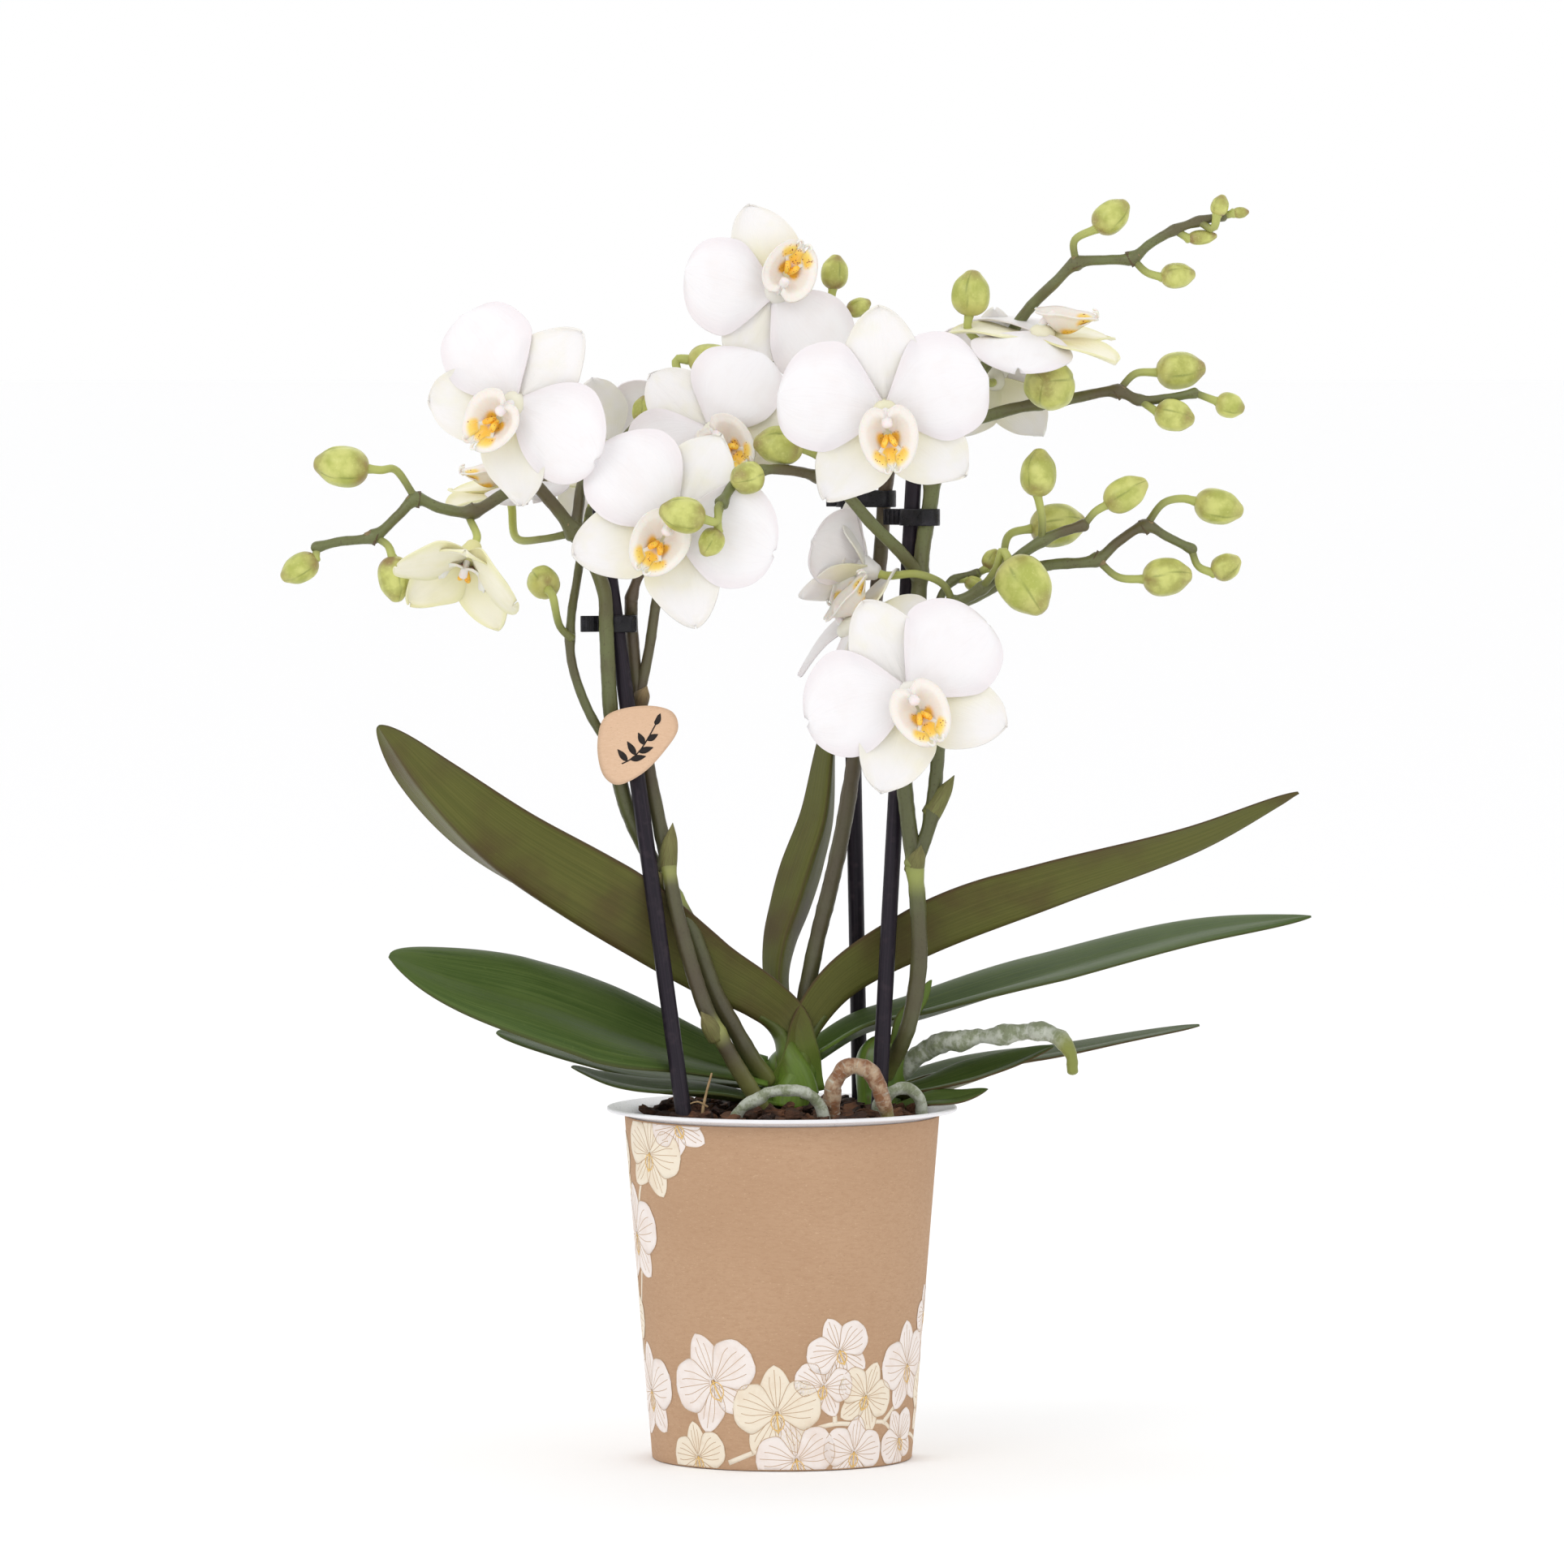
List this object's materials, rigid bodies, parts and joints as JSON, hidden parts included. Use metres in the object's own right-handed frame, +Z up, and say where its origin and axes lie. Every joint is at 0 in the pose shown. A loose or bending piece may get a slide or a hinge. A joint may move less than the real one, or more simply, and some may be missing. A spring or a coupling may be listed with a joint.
{
  "type": "potted orchid",
  "caption": "Moth orchid in a small round card-sleeved plastic pot, branching flower spikes clipped to stakes, with open white flowers, buds, strap leaves and aerial roots.",
  "frame": {"origin": "centre of the pot's flat base, on the surface that it stands on", "axes": "+Z up along the pot's axis, -Y the side that most flowers face, +X to the right seen from there"},
  "size_m": [0.2948, 0.111, 0.3619],
  "materials": {
    "sleeve_card": "uncoated kraft card with fine fibre flecks and white line flowers printed on it",
    "pot_plastic": "white thermoformed plastic, satin",
    "bark": "rough broken bark chips, damp and dark",
    "stake": "dark purple-black coated rod, satin",
    "clip": "moulded black plastic, satin",
    "stem": "living flower stem, olive green with brown mottling, waxy",
    "crown": "bright green clasping leaf bases, waxy",
    "leaf": "thick strap leaf, dark green above and brown-olive below, waxy",
    "root": "silver-green velamen, matte",
    "petal": "white petals with a pearly bloom, creamy green sepals",
    "bud": "yellow-green bud with a brown shade, waxy",
    "tag_card": "kraft card tag with a plain printed leaf sprig"
  },
  "bodies": {
    "root": {"sleeve": "sleeve_card", "pot": "pot_plastic", "substrate": "bark", "stake_left": "stake", "stake_right_front": "stake", "stake_right_rear": "stake", "clip_left": "clip", "clip_right_rear": "clip", "clip_right_front": "clip", "spike_left_outer": "stem", "spike_left_inner": "stem", "spike_right_front": "stem", "spike_right_rear": "stem", "crown_left": "crown", "crown_right": "crown", "leaf_left_upper": "leaf", "leaf_left_lower": "leaf", "leaf_left_under": "leaf", "leaf_left_short": "leaf", "leaf_centre": "leaf", "leaf_right_upper": "leaf", "leaf_right_middle": "leaf", "leaf_right_long": "leaf", "leaf_right_front": "leaf", "leaf_right_young": "leaf", "leaf_right_low": "leaf", "aerial_root_right": "root", "root_front_left": "root", "root_brown_arch": "root", "root_by_rim": "root", "flower_top": "petal", "flower_left": "petal", "flower_centre_left": "petal", "flower_centre_back": "petal", "flower_centre_right": "petal", "flower_low": "petal", "flower_side_low": "petal", "flower_side_back": "petal", "flower_right_up": "petal", "flower_right_back": "petal", "flower_left_back": "petal", "flower_left_half": "petal", "flower_between": "petal", "bud_01": "bud", "bud_02": "bud", "bud_03": "bud", "bud_04": "bud", "bud_05": "bud", "bud_06": "bud", "bud_07": "bud", "bud_08": "bud", "bud_09": "bud", "bud_10": "bud", "bud_11": "bud", "bud_12": "bud", "bud_13": "bud", "bud_14": "bud", "bud_15": "bud", "bud_16": "bud", "plant_tag": "tag_card"}
  },
  "joints": []
}
